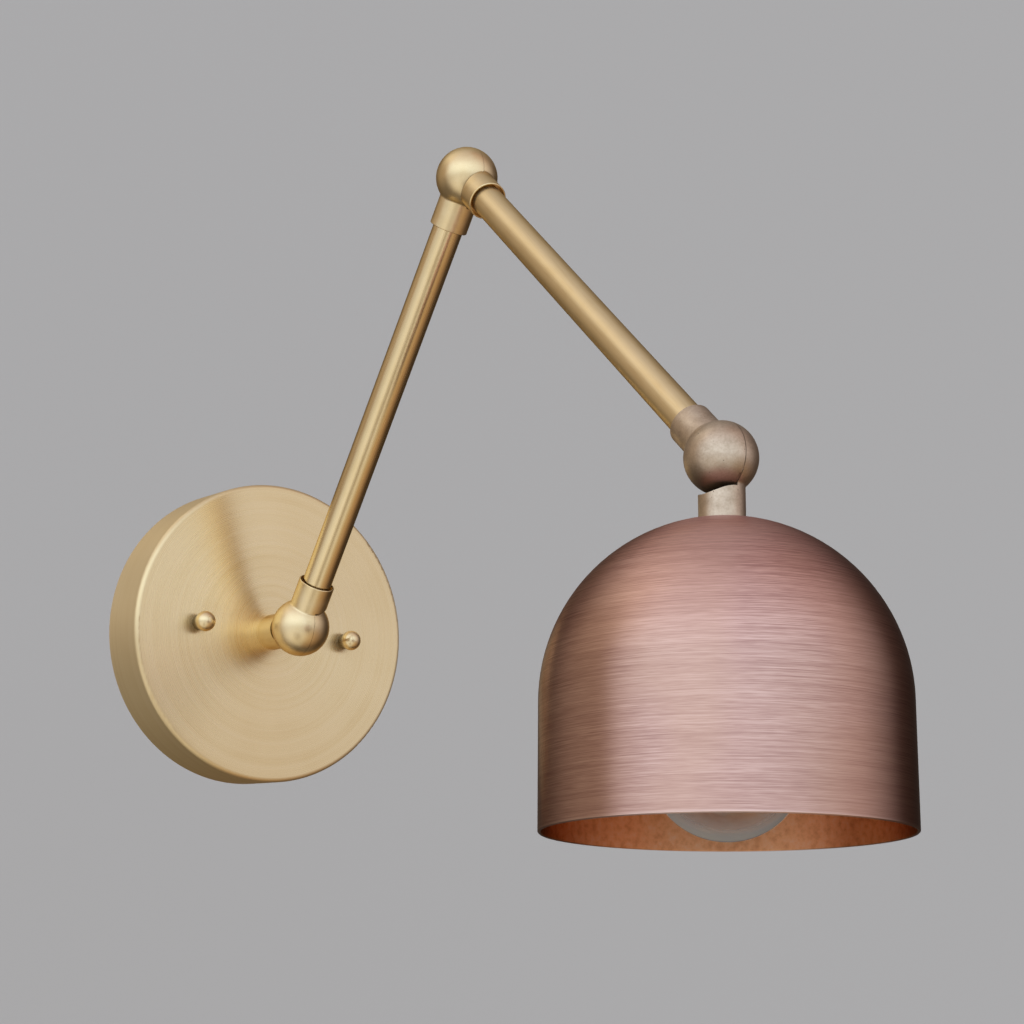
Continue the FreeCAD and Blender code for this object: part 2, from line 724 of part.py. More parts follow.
def make_socket():
    hub = s.cap_hub_diameter / 2
    hub_end = shade_nut_end + s.cap_hub_height
    seat_radius = s.socket_body_diameter / 2 - s.cap_wall
    skirt_inner = s.socket_body_diameter / 2 + s.socket_gap
    skirt_outer = skirt_inner + s.cap_wall
    skirt_end = socket_top + s.cap_skirt
    cap = turned([
        (thread_diameter / 2, shade_nut_end),
        (hub, shade_nut_end),
        (hub, hub_end),
        (skirt_outer - s.cap_wall, hub_end),
        (skirt_outer, hub_end + s.cap_wall),
        (skirt_outer, skirt_end),
        (skirt_inner, skirt_end),
        (skirt_inner, socket_top),
        (seat_radius, socket_top),
        (seat_radius, cap_ceiling),
        (thread_diameter / 2, cap_ceiling),
    ])
    screw_height = shade_nut_end + s.cap_hub_height / 2
    screw_start = thread_diameter / 2
    screw_hole = cross_cylinder(s.set_screw_diameter + 2 * s.thread_gap, 1, 0, s.cap_hub_diameter)
    tie(screw_hole, "Placement.Base.z", screw_height)
    piece("socket_cap", cut(cap, screw_hole), on_shade)
    set_screw = cross_cylinder(s.set_screw_diameter, 1, screw_start, screw_start + s.set_screw_length)
    tie(set_screw, "Placement.Base.z", screw_height)
    piece("socket_set_screw", grouped(set_screw), on_shade)

    body_end = socket_top + s.socket_body_length
    cavity = s.shell_diameter / 2 + s.socket_gap
    rivet_hole = s.contact_rivet_diameter / 2 + s.thread_gap
    body = turned([
        (rivet_hole, socket_top),
        (s.socket_body_diameter / 2, socket_top),
        (s.socket_body_diameter / 2, body_end),
        (cavity, body_end),
        (cavity, socket_floor_end),
        (rivet_hole, socket_floor_end),
    ])
    shank_hole = s.terminal_shank_diameter + 2 * s.thread_gap
    shank_end = socket_top + s.terminal_shank_length
    spots = [side * s.terminal_spread / 2 for side in (-1, 1)]
    holes = [cylinder(shank_hole, socket_top, shank_end + s.thread_gap, x=x) for x in spots]
    piece("socket_body", cut(body, *holes), on_shade)
    head_start = socket_top - s.terminal_head_height
    screws = [joined(cylinder(s.terminal_head_diameter, head_start, socket_top, x=x),
                     cylinder(s.terminal_shank_diameter, socket_top, shank_end, x=x)) for x in spots]
    piece("socket_terminal_screws", grouped(*screws), on_shade)

    shell = s.shell_diameter / 2
    shell_inner = shell - s.shell_wall
    shell_end = socket_floor_end + s.shell_length
    piece("socket_screw_shell", turned([
        (shell_inner - s.shell_lip, socket_floor_end),
        (shell, socket_floor_end),
        (shell, shell_end),
        (shell_inner, shell_end),
        (shell_inner, socket_floor_end + s.shell_wall),
        (shell_inner - s.shell_lip, socket_floor_end + s.shell_wall),
    ]), on_shade)
    plate_end = socket_floor_end + s.contact_plate
    piece("socket_centre_contact", turned([
        (0, socket_floor_end - s.contact_rivet_length),
        (s.contact_rivet_diameter / 2, socket_floor_end - s.contact_rivet_length),
        (s.contact_rivet_diameter / 2, socket_floor_end),
        (s.contact_diameter / 2, socket_floor_end),
        (s.contact_diameter / 2, plate_end),
        (s.contact_button_diameter / 2, plate_end),
        (s.contact_button_diameter / 2, bulb_tip),
        (0, bulb_tip),
    ]), on_shade)

    wire = s.head_wire_diameter.number
    height = (socket_top - s.terminal_head_height / 2).number
    reach = (s.terminal_spread / 2 - s.terminal_head_diameter / 2 - s.thread_gap).number
    wires = []
    for side in (-1, 1):
        offset = side * (nipple_bore / 2 - s.wire_gap - s.head_wire_diameter / 2).number
        start = FreeCAD.Vector(offset, 0, wire_end.number)
        corner = FreeCAD.Vector(offset, 0, height)
        wires.append(bent_wire([start, corner, FreeCAD.Vector(side * reach, 0, height)], wire, wire))
    piece("head_wires", formed(Part.Compound(wires)), on_shade)


# Globe bulb, on the shade's axis

def make_bulb():
    outer = bulb_base_diameter / 2
    root_radius = outer - s.bulb_thread_depth
    inner = root_radius - s.bulb_base_wall
    pitch = s.bulb_base_length / (BULB_THREADS + 1)
    outline = [(inner, bulb_base_end), (inner, bulb_base_start), (root_radius, bulb_base_start)]
    for turn in range(BULB_THREADS):
        crest = bulb_base_start + pitch * (turn + 0.5)
        outline += [(outer, crest), (root_radius, crest + pitch / 2)]
    outline.append((root_radius, bulb_base_end))
    piece("bulb_base", turned(outline), on_shade)
    tip_end = bulb_tip + s.bulb_tip_height
    tip = s.bulb_tip_diameter / 2
    piece("bulb_tip_contact", turned([
        (0, bulb_tip),
        (s.bulb_tip_flat / 2, bulb_tip),
        (tip, tip_end),
        (0, tip_end),
    ]), on_shade)
    piece("bulb_insulator", turned([
        (0, tip_end),
        (tip, tip_end),
        (root_radius, bulb_base_start),
        (0, bulb_base_start),
    ]), on_shade)

    neck_start = bulb_base_end - s.bulb_neck_sunk
    sweep = s.bulb_neck_sweep
    sweep_radius = glass_neck_radius + sweep
    between = globe_radius + sweep
    sweep_drop = root(between * between - sweep_radius * sweep_radius)
    join_share = globe_radius / between
    inner_globe = globe_radius - s.bulb_glass_wall
    inner_share = inner_globe / between
    inner_neck = glass_neck_radius - s.bulb_glass_wall
    sweep_centre = globe_centre - sweep_drop
    piece("bulb_glass", turned([
        (inner_neck, neck_start),
        (glass_neck_radius, neck_start),
        (glass_neck_radius, sweep_centre),
        (sweep_radius * join_share, globe_centre - sweep_drop * join_share, sweep_radius),
        (0, globe_centre + globe_radius, 0),
        (0, globe_centre + inner_globe),
        (sweep_radius * inner_share, globe_centre - sweep_drop * inner_share, 0),
        (inner_neck, sweep_centre, sweep_radius),
    ]), on_shade)

    stem = s.stem_diameter / 2
    stem_end = neck_start + s.stem_length
    piece("bulb_stem", turned([
        (0, neck_start),
        (inner_neck - s.bulb_neck_gap, neck_start),
        (stem, neck_start + s.stem_flare),
        (s.stem_tip_diameter / 2, stem_end),
        (0, stem_end),
    ]), on_shade)
    arm_end = stem_end + s.support_length
    reach = s.support_spread
    filament = s.filament_diameter / 2
    limbs = [block((-reach, reach), (-filament, filament), (stem_end, stem_end + s.support_diameter))]
    limbs += [cylinder(s.support_diameter, stem_end, arm_end, x=side * reach) for side in (-1, 1)]
    limbs.append(cross_cylinder(s.filament_diameter, 1, -reach, reach))
    tie(limbs[-1], "Placement.Base.z", arm_end - s.support_diameter)
    piece("bulb_filament", joined(*limbs), on_shade)


make_canopy()
make_crossbar()
make_canopy_fasteners()
make_canopy_nipple()
make_leads()
arm_play = (s.swing_gap, s.seam_gap)
knuckle_play = (s.knuckle_swing_gap, s.knuckle_seam_gap)
make_half("shoulder_fixed_half", 1, arm_play, canopy_neck_reach, place(shoulder, HALF_TURN), False)
make_half("shoulder_moving_half", -1, arm_play, s.neck_reach, on_lower_arm, True)
make_half("elbow_fixed_half", -1, arm_play, s.neck_reach, place(elbow, lower_angle + HALF_TURN), True)
make_half("elbow_moving_half", 1, arm_play, s.neck_reach, on_upper_arm, True)
make_half("knuckle_arm_half", -1, knuckle_play, s.neck_reach, place(knuckle, upper_angle + HALF_TURN), True)
make_half("knuckle_shade_half", 1, knuckle_play, s.neck_reach, on_shade, False)
make_pivot("shoulder", shoulder, s.seam_gap)
make_pivot("elbow", elbow, s.seam_gap)
make_pivot("knuckle", knuckle, s.knuckle_seam_gap)
make_arm("lower_arm", s.lower_arm_length, on_lower_arm)
make_arm("upper_arm", s.upper_arm_length, on_upper_arm)
make_shade()
make_socket()
make_bulb()

doc.recompute()
for thing in doc.Objects:
    if {"Invalid", "Error"} & set(thing.State):
        raise RuntimeError(f"{thing.Label} could not be made")
for solid in pieces:
    if solid.Shape.isNull() or not solid.Shape.isValid():
        raise RuntimeError(f"{solid.Label} has no valid shape")
os.makedirs("parts", exist_ok=True)
for solid in pieces:
    solid.Shape.exportStep(os.path.join("parts", f"{solid.Label}.step"))
print(len(pieces), "sub-parts written")
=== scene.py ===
import json
import math

import bpy
from mathutils import Matrix, Vector


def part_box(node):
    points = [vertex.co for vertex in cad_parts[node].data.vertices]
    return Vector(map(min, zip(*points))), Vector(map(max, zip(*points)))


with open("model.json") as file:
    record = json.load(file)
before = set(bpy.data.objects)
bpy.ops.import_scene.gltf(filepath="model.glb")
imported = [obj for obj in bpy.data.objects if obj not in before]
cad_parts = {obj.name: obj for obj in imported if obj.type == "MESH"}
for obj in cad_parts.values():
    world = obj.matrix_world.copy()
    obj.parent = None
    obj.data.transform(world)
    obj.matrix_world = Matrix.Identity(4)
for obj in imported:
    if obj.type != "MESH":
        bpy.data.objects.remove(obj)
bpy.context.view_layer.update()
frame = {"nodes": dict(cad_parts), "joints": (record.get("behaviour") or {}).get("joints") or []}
nodes = frame["nodes"]
scene = bpy.context.scene
scene.view_settings.view_transform = "Standard"


# Places in the lamp, in metres
def middle(node):
    low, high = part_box(node)
    return (low + high) / 2


joints = {joint["name"]: Vector(joint["pos_m"]) for joint in frame["joints"]}
SHOULDER = joints["shoulder_swivel"]
ELBOW = joints["elbow_swivel"]
KNUCKLE = joints["shade_swivel"]
WALL_AXIS = Vector((0, -1, 0))
LOWER_AXIS = (ELBOW - SHOULDER).normalized()
UPPER_AXIS = (KNUCKLE - ELBOW).normalized()
SHADE_AXIS = (middle("shade_washer") - KNUCKLE).normalized()
MM = 0.001
BALL_RADIUS = 12 * MM
FACE_RADIUS = 61 * MM
SIDE_RADIUS = 63.3 * MM
DOME_RADIUS = 57.5 * MM
DOME_CENTRE = 77.9 * MM
SKIN_MIDDLE = 56.7 * MM
RIM = 118 * MM


class Nodes:
    """A node tree built by short calls.

    Each value is a number, a vector, a colour or an output to link.
    """

    def __init__(self, tree):
        self.tree = tree

    def put(self, socket, value):
        if isinstance(value, bpy.types.NodeSocket):
            self.tree.links.new(value, socket)
        elif socket.type == "RGBA" and len(value) == 3:
            socket.default_value = (*value, 1)
        else:
            socket.default_value = value

    def node(self, kind, values, **settings):
        made = self.tree.nodes.new(f"ShaderNode{kind}")
        for name, setting in settings.items():
            setattr(made, name, setting)
        for key, value in values.items():
            self.put(made.inputs[key], value)
        return made

    def math(self, operation, *values):
        return self.node("Math", dict(enumerate(values)), operation=operation).outputs[0]

    def vector(self, operation, *values):
        made = self.node("VectorMath", dict(enumerate(values)), operation=operation)
        return made.outputs["Value" if operation in ("DOT_PRODUCT", "LENGTH") else "Vector"]

    def scaled(self, vector, factor):
        values = {0: vector, "Scale": factor}
        return self.node("VectorMath", values, operation="SCALE").outputs[0]

    def weighted(self, *parts):
        """Sum of outputs, each times its weight."""
        products = [self.math("MULTIPLY", value, weight) for value, weight in parts]
        total = products[0]
        for product in products[1:]:
            total = self.math("ADD", total, product)
        return total

    def off_middle(self, value, factor):
        """How far a noise is from its middle, times a factor."""
        return self.math("MULTIPLY", self.math("SUBTRACT", value, 0.5), factor)

    def remap(self, value, low, high, to_low=0.0, to_high=1.0):
        values = {0: value, 1: low, 2: high, 3: to_low, 4: to_high}
        return self.node("MapRange", values).outputs[0]

    def noise(self, vector, scale, detail=2.0, roughness=0.5):
        values = {"Vector": vector, "Scale": scale, "Detail": detail, "Roughness": roughness}
        return self.node("TexNoise", values).outputs["Fac"]

    def cells(self, vector, scale):
        return self.node("TexVoronoi", {"Vector": vector, "Scale": scale}).outputs["Distance"]

    def ramp(self, value, *stops):
        made = self.node("ValToRGB", {0: value})
        elements = made.color_ramp.elements
        while len(elements) < len(stops):
            elements.new(1.0)
        for element, (position, colour) in zip(elements, stops):
            element.position = position
            element.color = (*colour, 1)
        return made.outputs[0]

    def blend(self, share, first, second, mode="MIX"):
        values = {0: share, 6: first, 7: second}
        return self.node("Mix", values, data_type="RGBA", blend_type=mode).outputs[2]

    def between(self, share, first, second):
        values = {0: share, 2: first, 3: second}
        return self.node("Mix", values, data_type="FLOAT").outputs[0]


class Finish(Nodes):
    """A material on one principled shader, with coordinates in the part's own frame."""

    def __init__(self, name, **sockets):
        self.material = bpy.data.materials.new(name)
        self.material.use_nodes = True
        super().__init__(self.material.node_tree)
        self.shader = self.tree.nodes["Principled BSDF"]
        self.place = self.node("TexCoord", {}).outputs["Object"]
        for socket, value in sockets.items():
            self.set(socket.replace("_", " "), value)

    def set(self, name, value):
        self.put(self.shader.inputs[name], value)

    def along(self, origin, axis):
        """Distance from an origin along an axis."""
        return self.vector("DOT_PRODUCT", self.vector("SUBTRACT", self.place, origin), axis)

    def about(self, origin, axis):
        """Distance along an axis, distance from it, and the direction outward from it."""
        offset = self.vector("SUBTRACT", self.place, origin)
        along = self.vector("DOT_PRODUCT", offset, axis)
        outward = self.vector("SUBTRACT", offset, self.scaled(axis, along))
        radius = self.vector("LENGTH", outward)
        return along, radius, self.vector("NORMALIZE", outward)

    def lines_round(self, axis, outward):
        """Stretches the gloss across lines that run round an axis."""
        turn = self.vector("CROSS_PRODUCT", axis, outward)
        made = self.node("VectorTransform", {0: turn}, vector_type="VECTOR",
                         convert_from="OBJECT", convert_to="WORLD")
        self.set("Tangent", made.outputs[0])

    def streaks(self, place, outward, length, width):
        """Noise in streaks round an axis: long along the turn, thin across it."""
        ring = self.scaled(outward, 1.0 / length)
        across = self.math("DIVIDE", place, width)
        lines = self.node("CombineXYZ", {0: across, 1: across, 2: across}).outputs[0]
        return self.noise(self.vector("ADD", ring, lines), 1.0)

    def draw_lines(self, along, outward, axis, turns, length):
        """Noise in lines along an axis."""
        down = self.scaled(axis, self.math("DIVIDE", along, length))
        return self.noise(self.vector("ADD", self.scaled(outward, turns), down), 1.0)

    def bump(self, *layers):
        """Heights with their depths in metres, laid on one another."""
        normal = None
        for height, depth in layers:
            values = {"Strength": 1.0, "Distance": depth, "Height": height}
            if normal:
                values["Normal"] = normal
            normal = self.node("Bump", values).outputs[0]
        self.set("Normal", normal)


# Colours of the metals and the glass, and of the painted shade and highlight on them
BRASS_DEEP = (0.79, 0.61, 0.335)
BRASS = (0.86, 0.69, 0.41)
BRASS_PALE = (0.89, 0.725, 0.455)
BRASS_TONES = ((0.3, BRASS_DEEP), (0.5, BRASS), (0.7, BRASS_PALE))
BRASS_EDGE = (0.72, 0.58, 0.36)
# Painted shade for the gap between a neck's cut face and its ball
PAINTED_GAP_SHADE = (0.10, 0.065, 0.03)
# Nut tones: the dark low stops are painted shade at the nut's foot on the canopy
NUT_TONES_WITH_PAINTED_SHADE = ((0.1, (0.16, 0.11, 0.045)), (0.5, (0.46, 0.35, 0.19)), (0.66, BRASS))
RAW_TONES = ((0.32, (0.46, 0.355, 0.255)), (0.5, (0.60, 0.48, 0.36)), (0.66, (0.70, 0.58, 0.45)))
# Painted shade for the knuckle ball's underside
PAINTED_UNDERSIDE_SHADE = (0.12, 0.085, 0.06)
PIT = (0.12, 0.09, 0.07)
COPPER_TONES = (
    (0.36, (0.44, 0.245, 0.21)), (0.5, (0.60, 0.368, 0.313)), (0.64, (0.755, 0.51, 0.44)))
COPPER_EDGE = (0.28, 0.22, 0.19)
COPPER_PEACH = (0.63, 0.395, 0.29)
# Painted shade for the band above the shade's rim
COPPER_PAINTED_SHADE = (0.47, 0.27, 0.23)
# Painted highlight for the rim's edge
COPPER_RIM_HIGHLIGHT = (0.86, 0.64, 0.57)
DOME_TINT = (1.13, 0.96, 1.01)
INSIDE_TONES = (
    (0.3, (0.74, 0.31, 0.135)), (0.52, (0.95, 0.46, 0.225)), (0.72, (0.97, 0.56, 0.33)))
CLEAR = (0.985, 0.985, 0.985)

# Shader settings that finishes share
ALONG_LINES = 0.25
BRASS_SKIN = {
    "Metallic": 1.0, "Specular_Tint": BRASS_EDGE, "Coat_Weight": 0.1, "Coat_Roughness": 0.25}


def canopy_brass():
    """Satin brass with fine lathe lines round the canopy, duller on its side."""
    f = Finish("canopy_brass", Anisotropic=0.75, Anisotropic_Rotation=ALONG_LINES, **BRASS_SKIN)
    along, radius, outward = f.about(Vector(), WALL_AXIS)
    place = f.math("ADD", along, radius)
    fine = f.streaks(place, outward, 2.5, 0.34 * MM)
    wide = f.streaks(place, outward, 3.0, 3.5 * MM)
    cloud = f.noise(f.place, 45.0, 3.0)
    tone = f.weighted((fine, 0.25), (wide, 0.45), (cloud, 0.3))
    f.set("Base Color", f.ramp(tone, *BRASS_TONES))
    dull = f.remap(radius, FACE_RADIUS, SIDE_RADIUS, 0.0, 0.15)
    f.set("Roughness", f.math("ADD", f.remap(fine, 0.25, 0.75, 0.25, 0.31), dull))
    f.lines_round(WALL_AXIS, outward)
    f.bump((fine, 0.0004 * MM))
    return f.material


def drawn_brass(name, origin, axis, roughness):
    """Satin brass tube with fine draw lines along it."""
    f = Finish(name, **BRASS_SKIN)
    along, _, outward = f.about(origin, axis)
    fine = f.draw_lines(along, outward, axis, 26.0, 9 * MM)
    wide = f.draw_lines(along, outward, axis, 5.0, 40 * MM)
    cloud = f.noise(f.place, 110.0, 3.0)
    tone = f.weighted((fine, 0.4), (wide, 0.3), (cloud, 0.3))
    f.set("Base Color", f.ramp(tone, *BRASS_TONES))
    f.set("Roughness", f.remap(fine, 0.25, 0.75, roughness - 0.04, roughness + 0.04))
    f.bump((fine, 0.001 * MM))
    return f.material


def satin_brass(name, centre, side):
    """Blasted brass with a fine grain, and painted shade on the neck's cut face beside the ball on
    one side of the swivel.
    """
    f = Finish(name, **BRASS_SKIN)
    grain = f.noise(f.place, 2600.0)
    cloud = f.noise(f.place, 160.0, 4.0)
    tone = f.weighted((grain, 0.4), (cloud, 0.6))
    colour = f.ramp(tone, *BRASS_TONES)
    offset = f.vector("SUBTRACT", f.place, centre)
    reach = f.vector("LENGTH", f.vector("MULTIPLY", offset, (0, 1, 1)))
    past_seam = f.remap(f.vector("DOT_PRODUCT", offset, (side, 0, 0)), 0.1 * MM, 0.4 * MM)
    # Painted shade: the neck's cut face next to the ball is darkened as if the gap there lay in
    # shade
    gap_shade = f.math("MULTIPLY", f.remap(reach, BALL_RADIUS + 0.02 * MM, BALL_RADIUS + 0.12 * MM),
                  f.remap(reach, BALL_RADIUS + 0.5 * MM, BALL_RADIUS + 0.9 * MM, 1.0, 0.0))
    f.set("Base Color", f.blend(f.math("MULTIPLY", gap_shade, past_seam), colour, PAINTED_GAP_SHADE))
    f.set("Roughness", f.remap(cloud, 0.3, 0.7, 0.29, 0.37))
    f.bump((grain, 0.010 * MM), (cloud, 0.03 * MM))
    return f.material


def nut_brass():
    """Polished brass, duller where it meets the canopy, with painted shade there."""
    f = Finish("nut_brass", Metallic=1.0, Coat_Weight=0.15, Coat_Roughness=0.3)
    low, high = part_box("ball_nuts")
    # Painted shade: the nut darkens towards its foot on the canopy, where contact shade falls
    out = f.remap(f.vector("DOT_PRODUCT", f.place, WALL_AXIS), -high.y, -low.y)
    grain = f.noise(f.place, 900.0, 3.0)
    painted_light_share = f.math("ADD", out, f.off_middle(grain, 0.2))
    f.set("Base Color", f.ramp(painted_light_share, *NUT_TONES_WITH_PAINTED_SHADE))
    f.set("Roughness", f.remap(painted_light_share, 0.2, 0.7, 0.5, 0.3))
    f.bump((grain, 0.006 * MM))
    return f.material


def raw_brass(name, with_painted_shade):
    """Tumbled, darkened brass with small pits, and painted shade low on the ball where it has any.
    """
    f = Finish(name, Metallic=1.0)
    cloud = f.noise(f.place, 190.0, 5.0, 0.6)
    fleck = f.noise(f.place, 1500.0, 3.0)
    hollow = f.remap(f.cells(f.place, 620.0), 0.0, 0.16, 1.0, 0.0)
    rare = f.remap(f.noise(f.place, 260.0, 1.0), 0.52, 0.6)
    pits = f.math("MULTIPLY", hollow, rare)
    tone = f.weighted((cloud, 0.7), (fleck, 0.3))
    colour = f.ramp(tone, *RAW_TONES)
    if with_painted_shade:
        # Painted shade: darker further down the shade's axis, under the ball above the shade's
        # neck
        low = f.math("ADD", f.along(KNUCKLE, SHADE_AXIS), f.off_middle(cloud, 4 * MM))
        colour = f.blend(f.remap(low, 3.5 * MM, 10.5 * MM, 0.0, 0.85), colour, PAINTED_UNDERSIDE_SHADE)
    f.set("Base Color", f.blend(pits, colour, PIT))
    f.set("Roughness", f.remap(tone, 0.3, 0.7, 0.44, 0.36))
    f.bump((cloud, 0.10 * MM), (fleck, 0.018 * MM), (f.math("SUBTRACT", 1.0, pits), 0.08 * MM))
    return f.material


def shade_copper():
    """Antique copper, brushed round the outside and left raw inside."""
    f = Finish("brushed_copper", Metallic=1.0, Anisotropic=0.84, Anisotropic_Rotation=ALONG_LINES,
               Specular_Tint=COPPER_EDGE, Coat_Weight=0.38, Coat_IOR=1.8, Coat_Roughness=0.25)
    along, radius, outward = f.about(KNUCKLE, SHADE_AXIS)

    # How far up the dome, and which side of the sheet
    rise = f.math("MAXIMUM", f.math("SUBTRACT", DOME_CENTRE, along), 0.0)
    squares = f.math("ADD", f.math("POWER", rise, 2.0), f.math("POWER", radius, 2.0))
    outside = f.remap(f.math("SQRT", squares), SKIN_MIDDLE - 0.1 * MM, SKIN_MIDDLE + 0.1 * MM)
    lean = f.math("ARCSINE", f.math("MINIMUM", f.math("DIVIDE", rise, DOME_RADIUS), 1.0))
    arc = f.math("SUBTRACT", f.math("MAXIMUM", along, DOME_CENTRE),
                 f.math("MULTIPLY", lean, DOME_RADIUS))
    path = f.between(0.85, arc, along)

    # Brush marks, stronger up the dome
    scratch = f.streaks(path, outward, 0.11, 0.28 * MM)
    hair = f.streaks(path, outward, 0.42, 0.36 * MM)
    line = f.streaks(path, outward, 1.1, 0.9 * MM)
    band = f.streaks(path, outward, 2.2, 4.5 * MM)
    marks = f.weighted((scratch, 0.34), (hair, 0.30), (line, 0.20), (band, 0.16))
    tone = f.math("ADD", 0.5, f.off_middle(marks, f.remap(lean, 0.0, 1.2, 1.2, 2.1)))
    brushed = f.ramp(tone, *COPPER_TONES)

    # Peach patches, a redder dome, painted shade in a band above the rim and a painted highlight
    # on its edge
    peach = f.remap(f.noise(f.place, 24.0, 1.0), 0.45, 0.62, 0.0, 0.4)
    brushed = f.blend(peach, brushed, COPPER_PEACH)
    brushed = f.blend(f.remap(lean, 0.1, 1.2), brushed, DOME_TINT, "MULTIPLY")
    # Painted shade: darker towards the rim, where less light falls on the shade's lower part
    painted_rim_shade = f.remap(along, RIM - 24 * MM, RIM - 4 * MM, 0.0, 0.16)
    brushed = f.blend(painted_rim_shade, brushed, COPPER_PAINTED_SHADE)
    # Painted highlight: a lighter line along the rim's edge
    painted_light_share = f.remap(along, RIM - 1.1 * MM, RIM - 0.4 * MM, 0.0, 0.6)
    brushed = f.blend(painted_light_share, brushed, COPPER_RIM_HIGHLIGHT)

    stain = f.noise(f.place, 420.0, 6.0, 0.6)
    f.set("Base Color", f.blend(outside, f.ramp(stain, *INSIDE_TONES), brushed))
    f.set("Roughness", f.between(outside, f.remap(stain, 0.3, 0.7, 0.42, 0.31),
                                 f.remap(tone, 0.3, 0.7, 0.40, 0.30)))
    f.lines_round(SHADE_AXIS, outward)
    f.bump((f.math("MULTIPLY", scratch, outside), 0.008 * MM),
           (f.math("MULTIPLY", hair, outside), 0.008 * MM))
    return f.material


def plain_metal(name, dark, light, roughness):
    """Plated or drawn metal with a mottled skin."""
    f = Finish(name, Metallic=1.0)
    cloud = f.noise(f.place, 140.0, 4.0)
    fine = f.noise(f.place, 900.0)
    tone = f.weighted((cloud, 0.6), (fine, 0.4))
    f.set("Base Color", f.ramp(tone, (0.35, dark), (0.65, light)))
    f.set("Roughness", f.remap(fine, 0.3, 0.7, roughness - 0.06, roughness + 0.06))
    f.bump((fine, 0.012 * MM))
    return f.material


def moulded(name, dark, light, roughness):
    """Moulded or extruded plastic with a faint skin."""
    f = Finish(name)
    fine = f.noise(f.place, 700.0, 3.0)
    f.set("Base Color", f.ramp(fine, (0.35, dark), (0.65, light)))
    f.set("Roughness", f.remap(fine, 0.3, 0.7, roughness - 0.05, roughness + 0.05))
    f.bump((fine, 0.02 * MM))
    return f.material


def glass(name, tint, clear, hazy=False):
    """Blown glass with a faint ripple, and where hazy a haze that shows edge on."""
    f = Finish(name, IOR=1.6, Transmission_Weight=clear)
    if hazy:
        edge_on = f.node("LayerWeight", {"Blend": 0.5}).outputs["Facing"]
        f.set("Transmission Weight", f.remap(edge_on, 0.27, 0.8, clear, 0.42))
    ripple = f.noise(f.place, 60.0)
    f.set("Base Color", f.ramp(ripple, (0.35, tint), (0.65, CLEAR)))
    f.set("Roughness", f.remap(f.noise(f.place, 240.0, 3.0), 0.4, 0.7, 0.0, 0.05))
    f.bump((ripple, 0.02 * MM))
    return f.material


finishes = {
    canopy_brass(): ["canopy"],
    drawn_brass("lower_tube_brass", SHOULDER, LOWER_AXIS, 0.25): ["lower_arm_tube"],
    drawn_brass("upper_tube_brass", ELBOW, UPPER_AXIS, 0.34): ["upper_arm_tube"],
    satin_brass("shoulder_fixed_brass", SHOULDER, -1): ["shoulder_fixed_half"],
    satin_brass("shoulder_moving_brass", SHOULDER, 1): ["shoulder_moving_half"],
    satin_brass("elbow_fixed_brass", ELBOW, 1): ["elbow_fixed_half"],
    satin_brass("elbow_moving_brass", ELBOW, -1): ["elbow_moving_half"],
    nut_brass(): ["ball_nuts"],
    raw_brass("raw_brass_ball", True): ["knuckle_arm_half"],
    raw_brass("raw_brass_neck", False): ["knuckle_shade_half"],
    shade_copper(): ["shade"],
    plain_metal("zinc_steel", (0.52, 0.52, 0.50), (0.72, 0.72, 0.70), 0.36): [
        "mounting_crossbar", "canopy_studs", "stud_lock_nuts", "canopy_lock_washer",
        "canopy_lock_nut", "canopy_nipple", "lower_arm_nipples", "upper_arm_nipples",
        "shade_nipple", "shade_washer", "shade_lock_nut", "socket_set_screw",
        "socket_terminal_screws", "shoulder_pivot_screw", "elbow_pivot_screw",
        "knuckle_pivot_screw", "shoulder_spring_washer", "elbow_spring_washer",
        "knuckle_spring_washer"],
    plain_metal("green_steel", (0.03, 0.20, 0.08), (0.08, 0.36, 0.16), 0.34): ["ground_screw"],
    plain_metal("bright_brass", (0.74, 0.55, 0.28), (0.86, 0.68, 0.38), 0.28): [
        "socket_cap", "socket_screw_shell", "socket_centre_contact", "bulb_base"],
    plain_metal("solder", (0.50, 0.50, 0.50), (0.70, 0.70, 0.70), 0.42): ["bulb_tip_contact"],
    plain_metal("bare_copper", (0.62, 0.28, 0.15), (0.85, 0.46, 0.28), 0.3): ["ground_lead"],
    plain_metal("filament_metal", (0.34, 0.32, 0.30), (0.55, 0.53, 0.50), 0.4): ["bulb_filament"],
    moulded("fibre", (0.05, 0.04, 0.035), (0.11, 0.09, 0.075), 0.7): [
        "shoulder_friction_ring", "elbow_friction_ring", "knuckle_friction_ring"],
    moulded("phenolic", (0.012, 0.012, 0.013), (0.03, 0.03, 0.032), 0.32): [
        "socket_body", "bulb_insulator"],
    moulded("black_sleeve", (0.012, 0.012, 0.012), (0.03, 0.03, 0.03), 0.4): ["lead_black"],
    moulded("white_sleeve", (0.66, 0.65, 0.61), (0.80, 0.79, 0.75), 0.4): ["lead_white"],
    moulded("grey_sleeve", (0.42, 0.40, 0.35), (0.54, 0.52, 0.46), 0.45): [
        "lower_arm_wires", "upper_arm_wires", "head_wires"],
    moulded("orange_cap", (0.62, 0.20, 0.035), (0.78, 0.31, 0.07), 0.4): ["wire_connectors"],
    glass("bulb_glass", (0.84, 0.89, 1.0), 0.97, hazy=True): ["bulb_glass"],
    glass("stem_glass", (0.90, 0.92, 0.92), 0.95): ["bulb_stem"],
}
for material, names in finishes.items():
    for name in names:
        for slot in nodes[name].material_slots:
            slot.material = material


# Stage: a floor and a backdrop, and plain pale sides for the other views.
# The backdrop stands behind the lamp's reach at every pose.
LEFT, RIGHT = -4.0, 4.0
NEAR, BACK = -6.0, 0.45
FLOOR, TOP = -1.5, 2.5
FLOOR_GREY = (0.62, 0.62, 0.61)
BACKDROP_GREY = (0.55, 0.555, 0.555)
SIDE_GREY = (0.42, 0.42, 0.42)


